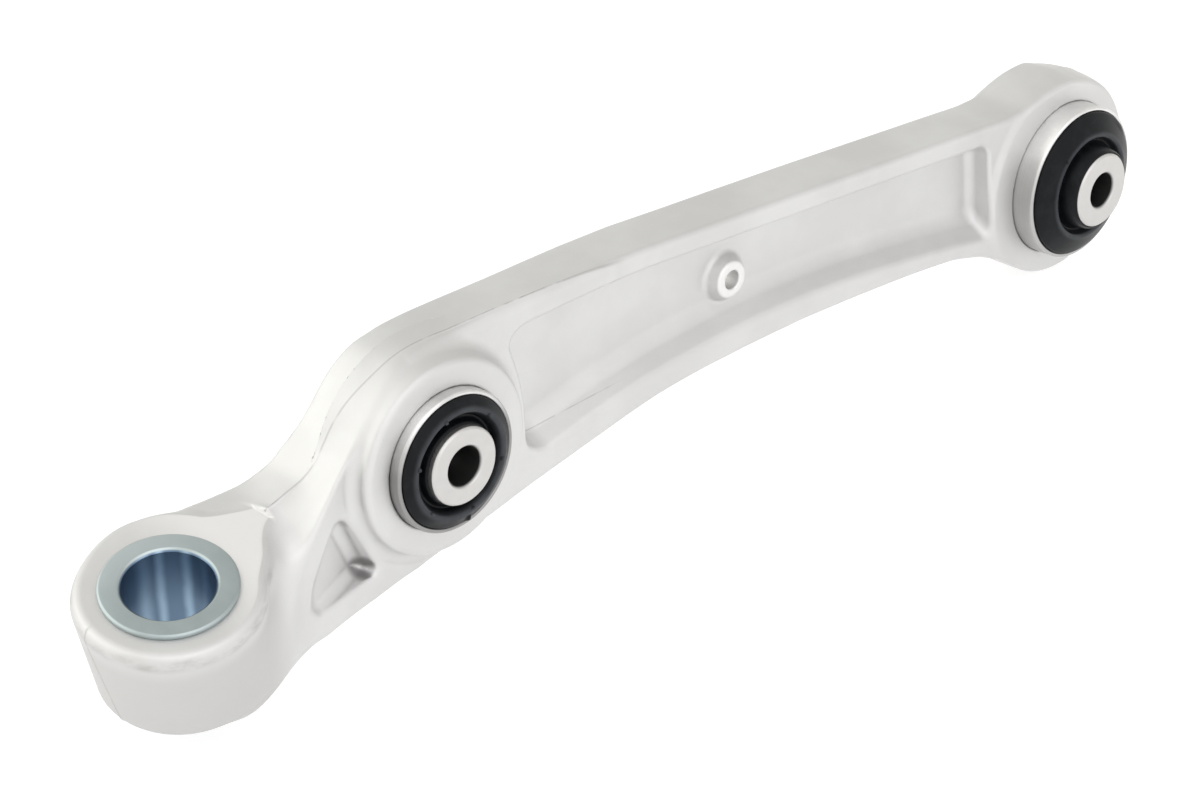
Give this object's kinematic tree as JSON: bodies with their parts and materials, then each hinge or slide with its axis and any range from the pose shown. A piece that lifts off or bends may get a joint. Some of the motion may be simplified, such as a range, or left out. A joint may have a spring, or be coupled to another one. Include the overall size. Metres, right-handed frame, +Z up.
{
  "type": "control arm",
  "caption": "Forged aluminium lower control arm with a flanged steel knuckle sleeve, a damper bush and a larger inner rubber bush.",
  "frame": {"origin": "centre of the knuckle sleeve's bore", "axes": "+X to the centre of the inner bush, +Y along both bush axes away from the web boss's open side, +Z up"},
  "size_m": [0.4436, 0.0581, 0.0888],
  "materials": {
    "forged_aluminium": "shot-blasted forged aluminium, satin",
    "zinc_plated_steel": "turned steel with clear blue zinc plating",
    "bush_can_steel": "thin turned ring, dull grey",
    "bush_rubber": "moulded black rubber, slight sheen",
    "machined_sleeve": "turned, with fine facing marks"
  },
  "bodies": {
    "arm": {"arm_forging": "forged_aluminium", "knuckle_sleeve": "zinc_plated_steel", "damper_bush_can": "bush_can_steel", "damper_bush_rubber": "bush_rubber", "inner_bush_can": "bush_can_steel", "inner_bush_rubber": "bush_rubber"},
    "damper_sleeve": {"damper_bush_sleeve": "machined_sleeve"},
    "inner_sleeve": {"inner_bush_sleeve": "machined_sleeve"}
  },
  "joints": [
    {"name": "damper_bush_twist", "type": "hinge", "parent": "arm", "child": "damper_sleeve", "pos_m": [0.089, -0.0032, 0.0218], "axis": [0, 1, 0], "range_deg": [-15, 15], "stiffness_Nm_per_rad": 60},
    {"name": "inner_bush_twist", "type": "hinge", "parent": "arm", "child": "inner_sleeve", "pos_m": [0.3815, 0, 0], "axis": [0, 1, 0], "range_deg": [-18, 18], "stiffness_Nm_per_rad": 90}
  ]
}
